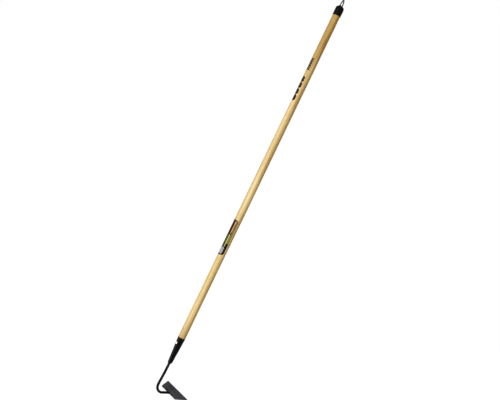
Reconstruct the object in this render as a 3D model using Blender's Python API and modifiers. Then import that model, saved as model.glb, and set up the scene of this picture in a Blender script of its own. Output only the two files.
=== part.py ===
# Draw hoe: a trapezoid blade on a swan neck rod, a rolled socket, a turned ash handle and a moulded hanging cap.
# Units are metres. The origin is the bearing point of the hanging eye, +Z runs up the handle,
# +X is the way the blade points, and Y = 0 is the plane of symmetry.

import math

import bmesh
import bpy
from mathutils import Matrix, Vector

# Fits
FIT_GAP = 0.0003
FILM_GAP = 0.00015

# Handle
HANDLE_DIAMETER = 0.028
HANDLE_LENGTH = 1.400
HANDLE_TOP_BELOW_DOME = 0.0005
HANDLE_NOSE_TO_NECK = 0.0025
HANDLE_TOP_ROUNDING = 0.004
HANDLE_SHOULDER_CHAMFER = 0.0008
HANDLE_NOSE_CHAMFER = 0.0025
HANDLE_SEGMENTS = 64

# Hanging cap
CAP_WALL = 0.0012
CAP_SKIRT = 0.0264
CAP_DOME_HEIGHT = 0.0105
CAP_DOME_FLAT_RADIUS = 0.0065
CAP_RIM_ROUNDING = 0.0004

# Moulded eye on top of the cap
EYE_HOLE_TOP_RADIUS = 0.0009
EYE_HOLE_BASE_RADIUS = 0.0037
EYE_HOLE_HEIGHT = 0.0178
EYE_ROOT = 0.0024
EYE_STRAND = 0.0037
EYE_TOP_BAR = 0.0055
EYE_THICKNESS = 0.0042
EYE_EDGE_ROUNDING = 0.0012
EYE_FLARE_HEIGHT = 0.0023
EYE_FLARE_WIDTH = 0.0016
EYE_FLARE_THICKNESS = 0.0024
EYE_SQUARENESS = 2.8

# Socket, rolled from sheet
SOCKET_LENGTH = 0.1008
SOCKET_RIM_PROUD = 0.0004
SOCKET_WALL = 0.0019
SOCKET_END_ROOM = 0.0018
SOCKET_EDGE_ROUNDING = 0.0004
SEAM_WIDTH_AT_RIM = 0.0014
SEAM_WIDTH_AT_END = 0.0006

# Swan neck, bent from round bar
NECK_DIAMETER = 0.010
NECK_IN_SOCKET = 0.0125
NECK_FIRST_RUN = 0.0330
NECK_FIRST_LEAN = math.radians(1.6)
NECK_BOW = math.radians(2.6)
NECK_BOW_RADIUS = 0.300
NECK_SECOND_RUN = 0.0398
NECK_BEND = math.radians(102.0)
NECK_BEND_RADIUS = 0.030
NECK_LAST_RUN = 0.0272
NECK_SIDES = 24
NECK_BEND_STEP = math.radians(4.0)

# Blade, cut from plate
BLADE_EDGE_WIDTH = 0.150
BLADE_BACK_WIDTH = 0.100
BLADE_DEPTH = 0.044
BLADE_THICKNESS = 0.003
BLADE_RAKE = math.radians(20.0)
BLADE_CORNER_RADIUS = 0.0012
BLADE_GROUND_WIDTH = 0.005
BLADE_EDGE_LEFT = 0.0006

# Welds
SOCKET_WELD_HEIGHT = 0.0045
SOCKET_WELD_WIDTH = 0.0026
BLADE_WELD_LENGTH = 0.0052
BLADE_WELD_BESIDE_NECK = 0.00155
BLADE_WELD_HEIGHT = 0.0034

# Fixing nail through the socket into the handle
NAIL_BELOW_RIM = 0.0222
NAIL_HEAD_DIAMETER = 0.0100
NAIL_HEAD_HEIGHT = 0.0014
NAIL_SHANK_DIAMETER = 0.0038
NAIL_LENGTH = 0.0185
NAIL_POINT = 0.004

# Label wrapped on the back of the handle
LABEL_BELOW_CAP = 0.8134
LABEL_LENGTH = 0.139
LABEL_WIDTH = 0.041
LABEL_THICKNESS = 0.0002
LABEL_CORNER_RADIUS = 0.017

# Stations along the handle: the cap and its eye stack up to the bearing point at zero,
# and the socket is pushed on until the handle's nose stands clear of the rod
CAP_DOME_TOP_Z = -EYE_HOLE_HEIGHT - EYE_ROOT
CAP_SKIRT_TOP_Z = CAP_DOME_TOP_Z - CAP_DOME_HEIGHT
CAP_RIM_Z = CAP_SKIRT_TOP_Z - CAP_SKIRT
HANDLE_TOP_Z = CAP_SKIRT_TOP_Z - HANDLE_TOP_BELOW_DOME
HANDLE_END_Z = HANDLE_TOP_Z - HANDLE_LENGTH
SOCKET_END_Z = HANDLE_END_Z - HANDLE_NOSE_TO_NECK - NECK_IN_SOCKET
SOCKET_RIM_Z = SOCKET_END_Z + SOCKET_LENGTH

# Radii that follow from the fits
HANDLE_RADIUS = HANDLE_DIAMETER / 2
NECK_RADIUS = NECK_DIAMETER / 2
CAP_BORE_RADIUS = HANDLE_RADIUS + FIT_GAP
CAP_RADIUS = CAP_BORE_RADIUS + CAP_WALL
SOCKET_RIM_RADIUS = HANDLE_RADIUS + SOCKET_RIM_PROUD
SOCKET_END_RADIUS = NECK_RADIUS + SOCKET_END_ROOM + SOCKET_WALL

# The rod is welded in a little behind the socket's axis, by a share of the room that is left beside it
NECK_SET_BACK = 0.54 * (SOCKET_END_ROOM - FIT_GAP)


def clear_scene():
    for obj in list(bpy.data.objects):
        bpy.data.objects.remove(obj, do_unlink=True)


def new_collection(name, hidden=False):
    made = bpy.data.collections.new(name)
    bpy.context.scene.collection.children.link(made)
    made.hide_render = hidden
    return made


def material(name, colour, roughness, metallic=0.0):
    made = bpy.data.materials.new(name)
    made.use_nodes = True
    shader = made.node_tree.nodes["Principled BSDF"]
    shader.inputs["Base Color"].default_value = (*colour, 1.0)
    shader.inputs["Roughness"].default_value = roughness
    shader.inputs["Metallic"].default_value = metallic
    made.diffuse_color = (*colour, 1.0)
    return made


def new_object(name, data, collection):
    made = bpy.data.objects.new(name, data)
    collection.objects.link(made)
    return made


def object_from(bm, name, collection):
    """Turns a finished bmesh into an object with smooth faces and outward normals."""
    bmesh.ops.recalc_face_normals(bm, faces=bm.faces)
    mesh = bpy.data.meshes.new(name)
    bm.to_mesh(mesh)
    bm.free()
    mesh.shade_smooth()
    return new_object(name, mesh, collection)


def turned(name, profile, collection, segments, closed=False):
    """Revolves (radius, z) points about Z. They run top to bottom on the outer side."""
    bm = bmesh.new()
    points = [bm.verts.new((radius, 0.0, z)) for radius, z in profile]
    for upper, lower in zip(points, points[1:]):
        bm.edges.new((upper, lower))
    if closed:
        bm.edges.new((points[-1], points[0]))
    mesh = bpy.data.meshes.new(name)
    bm.to_mesh(mesh)
    bm.free()
    made = new_object(name, mesh, collection)
    turn = made.modifiers.new("Turn", "SCREW")
    turn.axis = "Z"
    turn.angle = 2 * math.pi
    turn.steps = segments
    turn.render_steps = segments
    turn.use_merge_vertices = True
    turn.merge_threshold = 0.00001
    turn.use_smooth_shade = True
    return made


def arc(centre_radius, centre_z, width, height, start, end, count):
    """Points of an elliptical arc in the (radius, z) plane."""
    points = []
    for step in range(count + 1):
        angle = start + (end - start) * step / count
        points.append((centre_radius + width * math.cos(angle), centre_z + height * math.sin(angle)))
    return points


def boolean(target, other, operation):
    cut = target.modifiers.new(other.name, "BOOLEAN")
    cut.operation = operation
    cut.solver = "EXACT"
    cut.object = other


def helper(made):
    made.hide_render = True
    made.display_type = "WIRE"
    return made


def socket_radius(z):
    """Outer radius of the socket's cone at a height."""
    share = (SOCKET_RIM_Z - z) / SOCKET_LENGTH
    return SOCKET_RIM_RADIUS + (SOCKET_END_RADIUS - SOCKET_RIM_RADIUS) * share


def nail_frame():
    """Axis of the fixing nail: local +Z points out of the back of the socket, square to its wall."""
    z = SOCKET_RIM_Z - NAIL_BELOW_RIM
    slope = math.atan2(SOCKET_RIM_RADIUS - SOCKET_END_RADIUS, SOCKET_LENGTH)
    outward = Matrix.Rotation(-math.pi / 2 - slope, 4, "Y")
    return Matrix.Translation((-socket_radius(z), 0.0, z)) @ outward


def build_handle(parts, helpers):
    tenon = SOCKET_WALL + FIT_GAP
    shoulder_z = SOCKET_RIM_Z + FIT_GAP
    rounding = HANDLE_TOP_ROUNDING
    profile = [(0.0, HANDLE_TOP_Z)]
    profile += arc(HANDLE_RADIUS - rounding, HANDLE_TOP_Z - rounding, rounding, rounding, math.pi / 2, 0.0, 6)
    profile.append((HANDLE_RADIUS, shoulder_z + HANDLE_SHOULDER_CHAMFER))
    profile.append((HANDLE_RADIUS - HANDLE_SHOULDER_CHAMFER, shoulder_z))
    profile.append((socket_radius(SOCKET_RIM_Z) - tenon, shoulder_z))
    profile.append((socket_radius(SOCKET_RIM_Z) - tenon, SOCKET_RIM_Z))
    nose_z = HANDLE_END_Z + HANDLE_NOSE_CHAMFER
    profile.append((socket_radius(nose_z) - tenon, nose_z))
    profile.append((socket_radius(HANDLE_END_Z) - tenon - HANDLE_NOSE_CHAMFER, HANDLE_END_Z))
    profile.append((0.0, HANDLE_END_Z))
    handle = turned("handle", profile, parts, HANDLE_SEGMENTS)
    radius = NAIL_SHANK_DIAMETER / 2 + FIT_GAP
    above = NAIL_HEAD_HEIGHT
    below = -NAIL_LENGTH - FIT_GAP
    hole = turned("pilot_hole", [(0.0, above), (radius, above), (radius, below), (0.0, below)], helpers, 20)
    hole.matrix_world = nail_frame()
    boolean(handle, helper(hole), "DIFFERENCE")
    handle.data.materials.append(material("ash", (0.78, 0.56, 0.26), 0.38))
    return handle


def eye_outline_half_width(z):
    """Half width of the eye at a height: two circles and the straight flanks between them."""
    base_z = -EYE_HOLE_HEIGHT + EYE_HOLE_BASE_RADIUS
    base_radius = EYE_HOLE_BASE_RADIUS + EYE_STRAND
    top_radius = EYE_HOLE_TOP_RADIUS + EYE_STRAND
    top_z = EYE_TOP_BAR - top_radius
    flank = math.asin((base_radius - top_radius) / (top_z - base_z))
    low = base_z + base_radius * math.sin(flank)
    high = top_z + top_radius * math.sin(flank)
    if z >= high:
        return math.sqrt(max(top_radius**2 - (z - top_z) ** 2, 0.0))
    if z <= low:
        return base_radius * math.cos(flank)
    share = (z - low) / (high - low)
    return (base_radius + (top_radius - base_radius) * share) * math.cos(flank)


def eye_half_thickness(z):
    """Half thickness of the eye, closing as a quarter circle at its top."""
    full = EYE_THICKNESS / 2
    rise = z - (EYE_TOP_BAR - full)
    if rise <= 0.0:
        return full
    return math.sqrt(max(full**2 - rise**2, 0.0))


def eye_tongue(helpers):
    """The eye before its hole is cut: a column reshaped level by level, flaring into the dome."""
    bottom = CAP_DOME_TOP_Z - CAP_DOME_HEIGHT / 2
    top = EYE_TOP_BAR - 0.00005
    levels = 28
    bm = bmesh.new()
    bmesh.ops.create_cone(bm, cap_ends=True, segments=36, radius1=1.0, radius2=1.0, depth=2.0)
    upright = [edge for edge in bm.edges if abs(edge.verts[0].co.z - edge.verts[1].co.z) > 1.0]
    bmesh.ops.subdivide_edges(bm, edges=upright, cuts=levels - 1)
    for vert in bm.verts:
        share = (vert.co.z + 1.0) / 2.0
        z = bottom + (top - bottom) * math.sin(share * math.pi / 2)
        angle = math.atan2(vert.co.y, vert.co.x)
        flare = min(max(1.0 - (z - CAP_DOME_TOP_Z) / EYE_FLARE_HEIGHT, 0.0), 1.0) ** 2
        half_x = eye_outline_half_width(z) + EYE_FLARE_WIDTH * flare
        half_y = eye_half_thickness(z) + EYE_FLARE_THICKNESS * flare
        power = 2.0 / EYE_SQUARENESS
        x = half_x * math.copysign(abs(math.cos(angle)) ** power, math.cos(angle))
        y = half_y * math.copysign(abs(math.sin(angle)) ** power, math.sin(angle))
        vert.co = Vector((x, y, z))
    return helper(object_from(bm, "eye_tongue", helpers))


def eye_hole(helpers):
    """Cutter for the eye: a tapered slot along Y that widens at both faces, which rounds the edges it leaves."""
    base = Vector((0.0, -EYE_HOLE_HEIGHT + EYE_HOLE_BASE_RADIUS))
    top = Vector((0.0, -EYE_HOLE_TOP_RADIUS))
    flank = math.asin((EYE_HOLE_BASE_RADIUS - EYE_HOLE_TOP_RADIUS) / (top.y - base.y))
    reach = EYE_THICKNESS / 2 + EYE_FLARE_THICKNESS
    straight = EYE_THICKNESS / 2 - EYE_EDGE_ROUNDING
    bm = bmesh.new()
    turn = Matrix.Rotation(math.pi / 2, 4, "X")
    bmesh.ops.create_cone(bm, cap_ends=True, segments=44, radius1=1.0, radius2=1.0, depth=2.0, matrix=turn)
    long_edges = [edge for edge in bm.edges if abs(edge.verts[0].co.y - edge.verts[1].co.y) > 1.0]
    bmesh.ops.subdivide_edges(bm, edges=long_edges, cuts=14)
    stations = [-reach]
    stations += [-straight - EYE_EDGE_ROUNDING * math.sin(math.radians(90 - 15 * step)) for step in range(7)]
    stations += [-value for value in reversed(stations)]
    for vert in bm.verts:
        level = round((vert.co.y + 1.0) / 2.0 * 15)
        y = stations[level]
        inside = min(max(abs(y) - straight, 0.0), EYE_EDGE_ROUNDING)
        widen = EYE_EDGE_ROUNDING - math.sqrt(EYE_EDGE_ROUNDING**2 - inside**2)
        angle = math.atan2(vert.co.z, vert.co.x)
        upper = math.sin(angle) >= math.sin(flank)
        centre = top if upper else base
        radius = (EYE_HOLE_TOP_RADIUS if upper else EYE_HOLE_BASE_RADIUS) + widen
        vert.co = Vector((radius * math.cos(angle), y, centre.y + radius * math.sin(angle)))
    return helper(object_from(bm, "eye_hole", helpers))


def build_cap(parts, helpers):
    """Cap with a thin skirt, a rounded dome and the hanging eye blended into it."""
    dome_width = CAP_RADIUS - CAP_DOME_FLAT_RADIUS
    profile = [(0.0, CAP_DOME_TOP_Z)]
    profile += arc(CAP_DOME_FLAT_RADIUS, CAP_SKIRT_TOP_Z, dome_width, CAP_DOME_HEIGHT, math.pi / 2, 0.0, 10)
    middle = CAP_RADIUS - CAP_RIM_ROUNDING
    profile += arc(middle, CAP_RIM_Z + CAP_RIM_ROUNDING, CAP_RIM_ROUNDING, CAP_RIM_ROUNDING, 0.0, -math.pi / 2, 4)
    profile.append((CAP_BORE_RADIUS, CAP_RIM_Z))
    bore_top = HANDLE_TOP_Z + FIT_GAP
    rounding = HANDLE_TOP_ROUNDING
    profile += arc(CAP_BORE_RADIUS - rounding, bore_top - rounding, rounding, rounding, 0.0, math.pi / 2, 6)
    profile.append((0.0, bore_top))
    cap = turned("hang_cap", profile, parts, HANDLE_SEGMENTS)
    boolean(cap, eye_tongue(helpers), "UNION")
    boolean(cap, eye_hole(helpers), "DIFFERENCE")
    cap.data.materials.append(material("cap_plastic", (0.012, 0.012, 0.013), 0.42))
    return cap


def seam_cutter(helpers):
    """A wedge along the front of the socket, wider at the rim than at the end."""
    over = 0.01
    bm = bmesh.new()
    bmesh.ops.create_cube(bm, size=1.0)
    for vert in bm.verts:
        at_rim = vert.co.z > 0.0
        width = SEAM_WIDTH_AT_RIM if at_rim else SEAM_WIDTH_AT_END
        x = (vert.co.x + 0.5) * (SOCKET_RIM_RADIUS + over)
        z = SOCKET_RIM_Z + over if at_rim else SOCKET_END_Z - over
        vert.co = Vector((x, vert.co.y * width, z))
    return helper(object_from(bm, "seam_cutter", helpers))


def build_socket(parts, helpers):
    """Conical socket of one wall thickness, left open along its seam and punched for the nail."""
    edge = SOCKET_EDGE_ROUNDING
    rim = SOCKET_RIM_RADIUS
    end = SOCKET_END_RADIUS
    profile = arc(rim - edge, SOCKET_RIM_Z - edge, edge, edge, math.pi / 2, 0.0, 3)
    profile += arc(end - edge, SOCKET_END_Z + edge, edge, edge, 0.0, -math.pi / 2, 3)
    profile.append((end - SOCKET_WALL, SOCKET_END_Z))
    profile.append((rim - SOCKET_WALL, SOCKET_RIM_Z))
    socket = turned("socket", profile, parts, HANDLE_SEGMENTS, closed=True)
    boolean(socket, seam_cutter(helpers), "DIFFERENCE")
    radius = NAIL_SHANK_DIAMETER / 2 + FIT_GAP
    reach = 2 * SOCKET_WALL
    hole = turned("nail_hole", [(0.0, reach), (radius, reach), (radius, -reach), (0.0, -reach)], helpers, 20)
    hole.matrix_world = nail_frame()
    boolean(socket, helper(hole), "DIFFERENCE")
    socket.data.materials.append(material("socket_paint", (0.010, 0.010, 0.011), 0.22))
    return socket


def neck_path():
    """Centre line of the rod as (x, z) points, and its direction at the end, from straight runs and bends."""
    heading = NECK_FIRST_LEAN
    point = Vector((-NECK_SET_BACK, SOCKET_END_Z))
    down = Vector((-math.sin(heading), -math.cos(heading)))
    points = [point - down * NECK_IN_SOCKET, point + down * NECK_FIRST_RUN]
    bends = (
        (-NECK_BOW, NECK_BOW_RADIUS, NECK_SECOND_RUN),
        (NECK_BEND, NECK_BEND_RADIUS, NECK_LAST_RUN),
    )
    for turn, radius, run in bends:
        steps = max(4, math.ceil(abs(turn) / NECK_BEND_STEP))
        for step in range(steps):
            chord = 2 * radius * math.sin(abs(turn) / steps / 2)
            heading -= turn / steps / 2
            direction = Vector((-math.sin(heading), -math.cos(heading)))
            points.append(points[-1] + direction * chord)
            heading -= turn / steps / 2
        direction = Vector((-math.sin(heading), -math.cos(heading)))
        points.append(points[-1] + direction * run)
    return points, direction


def build_neck(parts):
    """Round bar bent to a swan neck: a bevelled curve through straight runs and bends."""
    points, direction = neck_path()
    curve = bpy.data.curves.new("neck", "CURVE")
    curve.dimensions = "3D"
    curve.bevel_depth = NECK_RADIUS
    curve.bevel_resolution = NECK_SIDES // 2 - 2
    curve.use_fill_caps = True
    line = curve.splines.new("POLY")
    line.points.add(len(points) - 1)
    for place, (x, z) in zip(line.points, points):
        place.co = (x, 0.0, z, 1.0)
    neck = new_object("neck", curve, parts)
    neck.data.materials.append(material("neck_paint", (0.010, 0.010, 0.011), 0.24))
    return neck


def blade_frame():
    """Middle of the blade's back edge: local +X runs to the cutting edge, +Z out of the face toward the handle."""
    points, direction = neck_path()
    skew = BLADE_RAKE - math.atan2(direction.y, direction.x)
    end = points[-1] + direction * (FIT_GAP + BLADE_THICKNESS / 2 * math.tan(abs(skew)))
    return Matrix.Translation((end.x, 0.0, end.y)) @ Matrix.Rotation(-BLADE_RAKE, 4, "Y")


def build_blade(parts):
    """Trapezoid plate with eased corners, ground to an edge on the face toward the handle."""
    bm = bmesh.new()
    bmesh.ops.create_cube(bm, size=1.0)
    for vert in bm.verts:
        at_edge = vert.co.x > 0.0
        width = BLADE_EDGE_WIDTH if at_edge else BLADE_BACK_WIDTH
        vert.co = Vector(((vert.co.x + 0.5) * BLADE_DEPTH, vert.co.y * width, vert.co.z * BLADE_THICKNESS))
    corners = [edge for edge in bm.edges if abs(edge.verts[0].co.z - edge.verts[1].co.z) > BLADE_THICKNESS / 2]
    bmesh.ops.bevel(
        bm,
        geom=corners,
        offset=BLADE_CORNER_RADIUS,
        segments=4,
        profile=0.5,
        affect="EDGES",
        material=-1,
    )
    drop = BLADE_THICKNESS - BLADE_EDGE_LEFT
    normal = Vector((drop, 0.0, BLADE_GROUND_WIDTH)).normalized()
    start = Vector((BLADE_DEPTH - BLADE_GROUND_WIDTH, 0.0, BLADE_THICKNESS / 2))
    everything = bm.verts[:] + bm.edges[:] + bm.faces[:]
    bmesh.ops.bisect_plane(bm, geom=everything, plane_co=start, plane_no=normal, clear_outer=True)
    bmesh.ops.holes_fill(bm, edges=bm.edges)
    bmesh.ops.transform(bm, matrix=blade_frame(), verts=bm.verts)
    blade = object_from(bm, "blade", parts)
    blade.data.set_sharp_from_angle(angle=math.radians(30))
    blade.data.materials.append(material("blade_paint", (0.045, 0.045, 0.048), 0.55))
    return blade


def build_socket_weld(parts):
    """Fillet of weld round the rod, tucked under the end of the socket."""
    inner = NECK_RADIUS + FIT_GAP
    top = -FIT_GAP
    profile = [(inner, top), (inner + SOCKET_WELD_WIDTH, top)]
    for step in range(1, 7):
        share = step / 7
        radius = inner + SOCKET_WELD_WIDTH * (1.0 - share) ** 1.3
        profile.append((radius, top - SOCKET_WELD_HEIGHT * share))
    profile.append((inner, top - SOCKET_WELD_HEIGHT))
    weld = turned("socket_weld", profile, parts, 40, closed=True)
    weld.matrix_world = Matrix.Translation((-NECK_SET_BACK, 0.0, SOCKET_END_Z)) @ Matrix.Rotation(
        NECK_FIRST_LEAN, 4, "Y"
    )
    weld.data.materials.append(material("socket_weld_paint", (0.010, 0.010, 0.011), 0.35))
    return weld


def build_blade_weld(name, side, parts):
    """Bead between the end of the rod and one face of the blade; side is +1 toward the handle, -1 away."""
    frame = blade_frame()
    points, direction = neck_path()
    rod_end = frame.inverted() @ Vector((points[-1].x, 0.0, points[-1].y))
    along = frame.to_3x3().inverted() @ Vector((direction.x, 0.0, direction.y))
    bm = bmesh.new()
    bmesh.ops.create_uvsphere(bm, u_segments=24, v_segments=14, radius=1.0)
    half_width = NECK_RADIUS + BLADE_WELD_BESIDE_NECK
    size = Matrix.Diagonal((BLADE_WELD_LENGTH, half_width, BLADE_WELD_HEIGHT, 1.0))
    place = Matrix.Translation((0.0, 0.0, side * BLADE_THICKNESS / 2))
    bmesh.ops.transform(bm, matrix=place @ size, verts=bm.verts)
    floor = Vector((0.0, 0.0, side * (BLADE_THICKNESS / 2 + FIT_GAP)))
    for origin, normal in ((floor, Vector((0.0, 0.0, side))), (rod_end + along * FIT_GAP, along)):
        everything = bm.verts[:] + bm.edges[:] + bm.faces[:]
        bmesh.ops.bisect_plane(bm, geom=everything, plane_co=origin, plane_no=normal, clear_inner=True)
        bmesh.ops.holes_fill(bm, edges=bm.edges)
    bmesh.ops.transform(bm, matrix=frame, verts=bm.verts)
    weld = object_from(bm, name, parts)
    weld.data.set_sharp_from_angle(angle=math.radians(40))
    weld.data.materials.append(material(name + "_paint", (0.012, 0.012, 0.013), 0.4))
    return weld


def build_nail(parts):
    """Domed nail that holds the socket to the handle, driven in square to the wall."""
    head = NAIL_HEAD_DIAMETER / 2
    shank = NAIL_SHANK_DIAMETER / 2
    profile = arc(0.0, FIT_GAP, head, NAIL_HEAD_HEIGHT, math.pi / 2, 0.0, 8)
    profile[0] = (0.0, FIT_GAP + NAIL_HEAD_HEIGHT)
    profile.append((shank, FIT_GAP))
    profile.append((shank, -NAIL_LENGTH + NAIL_POINT))
    profile.append((0.0, -NAIL_LENGTH))
    nail = turned("fixing_nail", profile, parts, 28)
    nail.matrix_world = nail_frame()
    nail.data.materials.append(material("bright_steel", (0.72, 0.68, 0.60), 0.3, 1.0))
    return nail


def build_label(parts):
    """Film with broadly rounded ends, laid out flat and then wrapped round the back of the handle."""
    radius = HANDLE_RADIUS + FILM_GAP
    facet = 2 * math.pi / HANDLE_SEGMENTS
    columns = 2 * round(LABEL_WIDTH / 2 / radius / facet)
    half = columns / 2 * facet * radius
    middle = CAP_RIM_Z - LABEL_BELOW_CAP - LABEL_LENGTH / 2
    bm = bmesh.new()
    bmesh.ops.create_grid(bm, x_segments=columns, y_segments=8, size=1.0)
    corner = min(LABEL_CORNER_RADIUS, half)
    for vert in bm.verts:
        across = vert.co.x * half
        past = max(abs(across) - (half - corner), 0.0)
        drop = corner - math.sqrt(max(corner**2 - past**2, 0.0))
        along = vert.co.y * (LABEL_LENGTH / 2 - drop)
        angle = math.pi + across / radius
        vert.co = Vector((radius * math.cos(angle), radius * math.sin(angle), middle + along))
    label = object_from(bm, "label", parts)
    film = label.modifiers.new("Film", "SOLIDIFY")
    film.thickness = LABEL_THICKNESS
    film.offset = 1.0
    label.data.materials.append(material("label_print", (0.10, 0.13, 0.06), 0.35))
    return label


def main():
    clear_scene()
    parts = new_collection("draw_hoe")
    helpers = new_collection("cutters", hidden=True)
    build_handle(parts, helpers)
    build_cap(parts, helpers)
    build_socket(parts, helpers)
    build_neck(parts)
    build_socket_weld(parts)
    build_blade(parts)
    build_blade_weld("blade_weld_inner", 1.0, parts)
    build_blade_weld("blade_weld_outer", -1.0, parts)
    build_nail(parts)
    build_label(parts)


main()
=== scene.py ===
# %% [markdown]
# # Dressing a draw hoe
# A draw hoe is a flat blade on a bent rod, pulled toward the user through the soil. The solids of
# this tool are already drawn to size. Here each piece gets the shape and finish that a person sees:
# a varnished ash handle, a moulded hanging cap, a rolled and painted socket, a bent bar and a blade.
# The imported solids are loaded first, because every piece has to sit exactly where its solid sits.

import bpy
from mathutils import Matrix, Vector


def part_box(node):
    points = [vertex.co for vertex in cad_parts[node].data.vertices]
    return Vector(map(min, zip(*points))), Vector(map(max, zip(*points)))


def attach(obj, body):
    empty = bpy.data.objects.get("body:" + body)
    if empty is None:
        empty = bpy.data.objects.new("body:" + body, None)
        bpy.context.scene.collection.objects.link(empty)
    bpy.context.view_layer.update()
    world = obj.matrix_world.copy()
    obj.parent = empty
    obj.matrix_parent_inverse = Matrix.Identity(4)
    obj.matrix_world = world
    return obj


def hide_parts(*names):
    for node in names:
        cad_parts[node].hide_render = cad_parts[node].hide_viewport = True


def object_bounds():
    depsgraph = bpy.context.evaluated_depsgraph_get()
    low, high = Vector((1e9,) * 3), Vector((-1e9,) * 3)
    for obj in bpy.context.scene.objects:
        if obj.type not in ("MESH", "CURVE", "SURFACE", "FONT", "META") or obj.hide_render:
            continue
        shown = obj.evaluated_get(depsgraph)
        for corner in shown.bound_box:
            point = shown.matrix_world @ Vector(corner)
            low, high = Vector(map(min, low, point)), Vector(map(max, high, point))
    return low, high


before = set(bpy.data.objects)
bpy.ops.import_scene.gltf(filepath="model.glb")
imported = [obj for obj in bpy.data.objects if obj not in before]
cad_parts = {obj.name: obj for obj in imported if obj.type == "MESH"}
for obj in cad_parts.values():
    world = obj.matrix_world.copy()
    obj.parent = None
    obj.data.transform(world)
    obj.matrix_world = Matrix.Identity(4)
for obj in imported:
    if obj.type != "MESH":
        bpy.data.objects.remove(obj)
cad_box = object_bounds()
print("CAD box:", [round(value, 4) for corner in cad_box for value in corner])

# %% [markdown]
# The rest of the tools come from Blender itself. Lengths are in metres. The tool hangs from its eye
# at the origin with the handle along Z, the blade points along +X, and Y = 0 is the plane in which
# both halves of the tool mirror each other.

# %% Tools for the job
import math

import bmesh
import bpy
from mathutils import Matrix, Vector, noise

FULL_TURN = 2 * math.pi

# %% [markdown]
# A finish is a web of nodes, and the same few moves come back in all of them: a bit of arithmetic,
# a soft step from one value to another, cloudy noise, and a mix of two colours. Each gets a small
# helper here. A value that is handed to a helper may be a plain number or the output of a node, and
# a new node joins the web of the first such output. Plain colours are written as on a screen.

# %% Helpers for wiring
def new_node(kind, *values):
    """A node in the web that the first wired value belongs to."""
    wired = next(value for value in values if isinstance(value, bpy.types.NodeSocket))
    return wired.id_data.nodes.new("ShaderNode" + kind)


def feed(target, value):
    """Wires an output into a socket, or writes a plain number, vector or colour on it."""
    if isinstance(value, bpy.types.NodeSocket):
        target.id_data.links.new(value, target)
    else:
        target.default_value = value


def feed_all(sockets, **values):
    """Feeds sockets by name. Underscores in a name stand for spaces."""
    for label, value in values.items():
        feed(sockets[label.replace("_", " ")], value)


def calc(operation, *values):
    """Arithmetic on one value or two. Further values are taken in one after the other."""
    node = new_node("Math", *values)
    node.operation = operation
    for socket, value in zip(node.inputs[:2], values):
        feed(socket, value)
    answer = node.outputs["Value"]
    return calc(operation, answer, *values[2:]) if values[2:] else answer


def times(*values):
    return calc("MULTIPLY", *values)


def plus(*values):
    return calc("ADD", *values)


def minus(first, second):
    return calc("SUBTRACT", first, second)


def fade(value, start, end, low=0.0, high=1.0):
    """A soft step: low until the value reaches start, high from end on. It may also run down."""
    node = new_node("MapRange", value)
    node.interpolation_type = "SMOOTHSTEP"
    feed_all(node.inputs, Value=value, From_Min=start, From_Max=end, To_Min=low, To_Max=high)
    return node.outputs["Result"]


def split(vector):
    """The three numbers of a vector."""
    node = new_node("SeparateXYZ", vector)
    feed(node.inputs["Vector"], vector)
    return list(node.outputs)


# %% Helpers for noise and colour
def speckle(place, scale, detail=2.0, roughness=0.5, stretch=(1.0, 1.0, 1.0)):
    """Cloudy noise from 0 to 1, drawn out along an axis by a small stretch."""
    mapping = new_node("Mapping", place)
    feed_all(mapping.inputs, Vector=place, Scale=stretch)
    node = new_node("TexNoise", place)
    feed(node.inputs["Vector"], mapping.outputs["Vector"])
    feed_all(node.inputs, Scale=scale, Detail=detail, Roughness=roughness)
    return node.outputs["Fac"]


def swatch(*screen):
    """Turns a colour read off a screen, 0 to 255, into the linear light that a shader wants."""
    linear = []
    for share in [value / 255 for value in screen]:
        linear.append(share / 12.92 if share <= 0.04045 else ((share + 0.055) / 1.055) ** 2.4)
    return (*linear, 1.0)


def tint(share, first, second, way="MIX"):
    """Mixes two colours by a share from 0 to 1."""
    node = new_node("Mix", share, first, second)
    node.data_type = "RGBA"
    node.blend_type = way
    for number, value in ((0, share), (6, first), (7, second)):
        feed(node.inputs[number], swatch(*value) if isinstance(value, tuple) else value)
    return node.outputs[2]


def coats(colour, *rows):
    """Lays coats over a colour. A row says where, how much, which colour and, if need be, the way."""
    for mask, share, coat, *way in rows:
        colour = tint(times(mask, share), colour, coat, *way)
    return colour


# %% [markdown]
# Some effects turn up in several finishes, so each is made once as a node group with named sockets.
# A group takes the place of a point and a few plain numbers, and hands out only values that change
# over the surface. The Principled shader, with its own plain numbers, stays in the material.

# %% Helpers for shared effects
def new_group(name, outputs, **numbers):
    """An empty node group. Returns it, what comes in and what goes out."""
    tree = bpy.data.node_groups.new(name, "ShaderNodeTree")
    add = tree.interface.new_socket
    add(name="Place", in_out="INPUT", socket_type="NodeSocketVector")
    for label, start in numbers.items():
        socket = add(name=label.replace("_", " "), in_out="INPUT", socket_type="NodeSocketFloat")
        socket.default_value = start
    for label in outputs:
        add(name=label, in_out="OUTPUT", socket_type="NodeSocketFloat")
    return tree, tree.nodes.new("NodeGroupInput").outputs, tree.nodes.new("NodeGroupOutput").inputs


def use_group(group, place, **numbers):
    """Places a group in a material and returns what it hands out."""
    node = new_node("Group", place)
    node.node_tree = group
    feed_all(node.inputs, Place=place, **numbers)
    return node.outputs


def tell(made):
    """Prints how many nodes a group or a material has."""
    print("made", made.name, "with", len(getattr(made, "node_tree", made).nodes), "nodes")
    return made


# %% [markdown]
# ## Effect: the grain of ash
# Ash is ring-porous. Each year starts with a band of open pores, which shows as a darker line, and
# ends in dense pale wood. A turned handle cuts the rings lengthwise, so the lines run along it,
# nearly straight on two sides and in long drawn-out arches on the other two. An image of wood would
# repeat and stretch. Here the rings are real: the distance from a tree's centre that lies outside
# the handle and leans a little, bent by slow noise, with edges that fine fibres make ragged. The
# pores are short dashes of a third of a millimetre in the dark part of each ring.

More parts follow.
